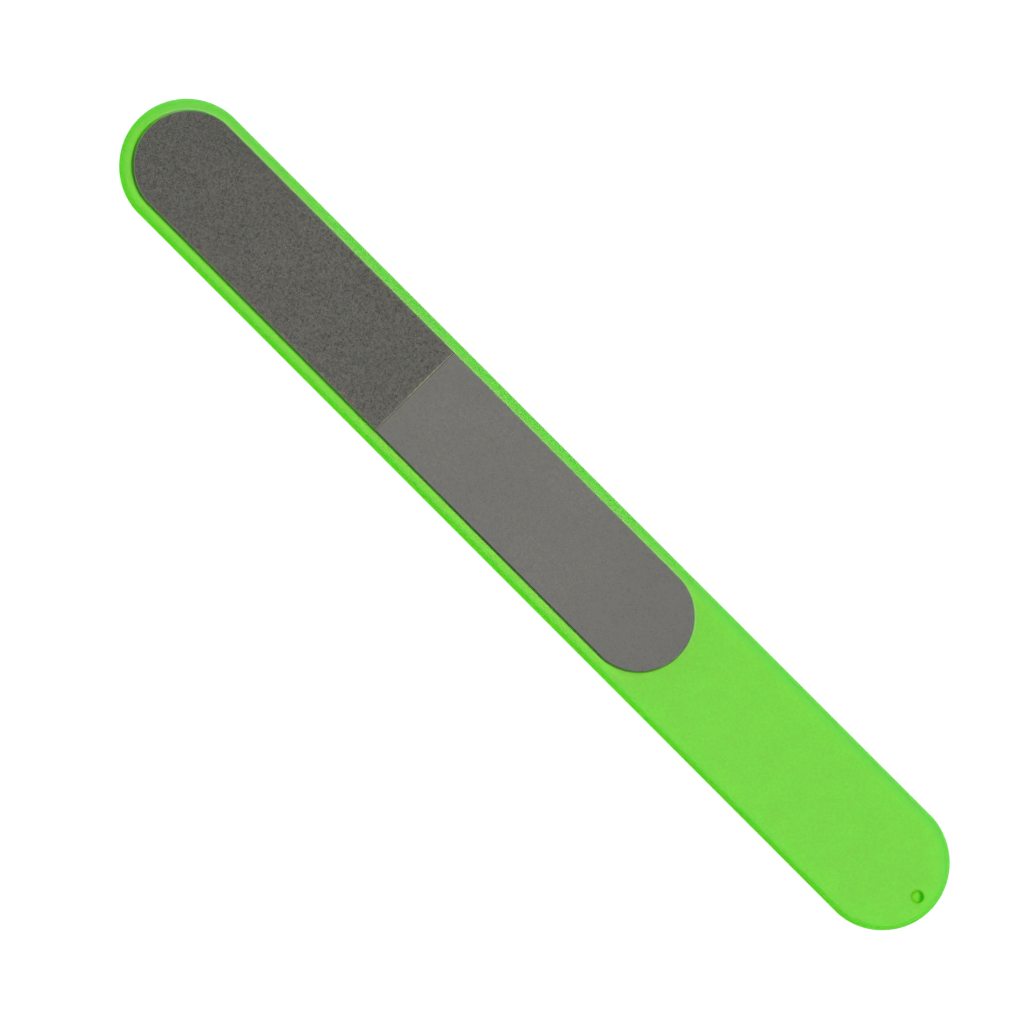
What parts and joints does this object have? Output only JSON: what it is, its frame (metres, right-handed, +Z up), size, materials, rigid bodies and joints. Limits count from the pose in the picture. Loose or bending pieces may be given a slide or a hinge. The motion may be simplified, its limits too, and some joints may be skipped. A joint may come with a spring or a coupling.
{
  "type": "nail file",
  "caption": "Flat nail file: a moulded plastic blade with a bare handle and a coarse and a fine abrasive strip end to end in a shallow pocket.",
  "frame": {"origin": "on the surface that the file lies on, under the middle of the blade", "axes": "+X along the blade towards the bare handle, +Y across the blade, +Z up out of the abrasive face"},
  "size_m": [0.178, 0.0216, 0.0033],
  "materials": {
    "lime_plastic": "lime-green moulded plastic with a fine satin texture",
    "coarse_abrasive": "coarse dark grey abrasive grains set in resin",
    "fine_abrasive": "fine mid-grey abrasive coat, dead matt",
    "buff_paper": "buff backing paper with a cut edge",
    "dark_paper": "dark grey backing paper with a cut edge",
    "clear_adhesive": "clear pressure-sensitive adhesive film"
  },
  "bodies": {
    "root": {"handle_blade": "lime_plastic", "coarse_grit_layer": "coarse_abrasive", "coarse_backing_paper": "buff_paper", "coarse_adhesive_film": "clear_adhesive", "fine_grit_layer": "fine_abrasive", "fine_backing_paper": "dark_paper", "fine_adhesive_film": "clear_adhesive"}
  },
  "joints": []
}
